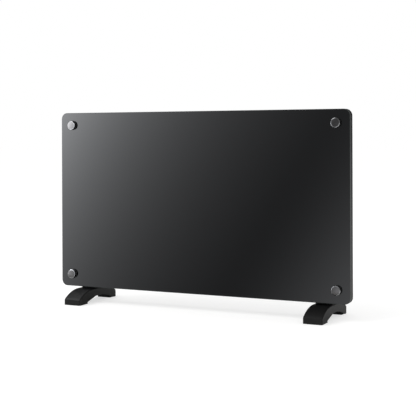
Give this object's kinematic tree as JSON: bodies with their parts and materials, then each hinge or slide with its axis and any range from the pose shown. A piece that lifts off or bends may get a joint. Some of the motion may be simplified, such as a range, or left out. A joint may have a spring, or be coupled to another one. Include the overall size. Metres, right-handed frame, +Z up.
{
  "type": "glass panel convector",
  "caption": "Free-standing convector heater with a black glass front held by round metal caps, a louvred steel rear housing and arched floor feet.",
  "frame": {"origin": "on the floor, midway between the feet and midway along them", "axes": "+X to the right seen from the front, -Y out of the glass, +Z up"},
  "size_m": [0.786, 0.1816, 0.49],
  "materials": {
    "black_glass": "tempered, painted black on its back, glossy",
    "cap_metal": "turned and brushed",
    "black_rubber": "matt",
    "clear_nylon": "natural nylon",
    "zinc_steel": "zinc plated",
    "black_enamel": "satin powder coat",
    "black_screw": "black zinc",
    "black_plastic": "fine texture",
    "bright_aluminium": "bright sheet",
    "element_aluminium": "extruded, satin",
    "rod_steel": "sheath steel",
    "white_ceramic": "unglazed steatite",
    "cream_plastic": "moulded thermoset",
    "knob_plastic": "satin moulded",
    "red_lens": "translucent lens",
    "black_nylon": "moulded",
    "foot_plastic": "fine texture, moulded"
  },
  "bodies": {
    "heater": {"front_glass": "black_glass", "glass_caps": "cap_metal", "cap_washers": "black_rubber", "glass_spacers": "clear_nylon", "glass_studs": "zinc_steel", "stud_nuts": "zinc_steel", "front_pan": "black_enamel", "pan_posts": "zinc_steel", "rear_housing": "black_enamel", "housing_end": "black_enamel", "rear_cover": "black_enamel", "housing_screws": "black_screw", "outlet_grille": "black_plastic", "inlet_grille": "black_plastic", "heat_shield": "bright_aluminium", "element_lower": "element_aluminium", "element_upper": "element_aluminium", "element_rod_lower": "rod_steel", "element_rod_upper": "rod_steel", "element_bushes": "white_ceramic", "element_bracket_left": "zinc_steel", "element_bracket_right": "zinc_steel", "control_partition": "zinc_steel", "thermal_cutout": "cream_plastic", "control_panel": "black_plastic", "panel_screws": "black_screw", "thermostat_body": "cream_plastic", "pilot_lens": "red_lens", "rocker_housing_high": "black_plastic", "rocker_housing_low": "black_plastic", "cord_inlet_bush": "black_nylon", "terminal_block": "cream_plastic", "tip_switch_case": "cream_plastic", "foot_left": "foot_plastic", "foot_right": "foot_plastic", "foot_pads": "black_rubber", "foot_screws": "zinc_steel", "foot_nut_plates": "zinc_steel"},
    "knob": {"thermostat_knob": "knob_plastic", "thermostat_spindle": "zinc_steel"},
    "rocker_high_body": {"rocker_high": "knob_plastic"},
    "rocker_low_body": {"rocker_low": "knob_plastic"},
    "pendulum": {"tip_pendulum": "rod_steel"}
  },
  "joints": [
    {"name": "thermostat_turn", "type": "hinge", "parent": "heater", "child": "knob", "pos_m": [0.355, 0.00675, 0.411], "axis": [1, 0, 0], "range_deg": [-270, 0]},
    {"name": "rocker_high_tilt", "type": "hinge", "parent": "heater", "child": "rocker_high_body", "pos_m": [0.3536, 0.00675, 0.365], "axis": [0, 1, 0], "range_deg": [-16, 0]},
    {"name": "rocker_low_tilt", "type": "hinge", "parent": "heater", "child": "rocker_low_body", "pos_m": [0.3536, 0.00675, 0.339], "axis": [0, 1, 0], "range_deg": [-16, 0]},
    {"name": "tip_swing", "type": "hinge", "parent": "heater", "child": "pendulum", "pos_m": [0.324, 0.01455, 0.1892], "axis": [1, 0, 0], "range_deg": [-20, 20]}
  ]
}
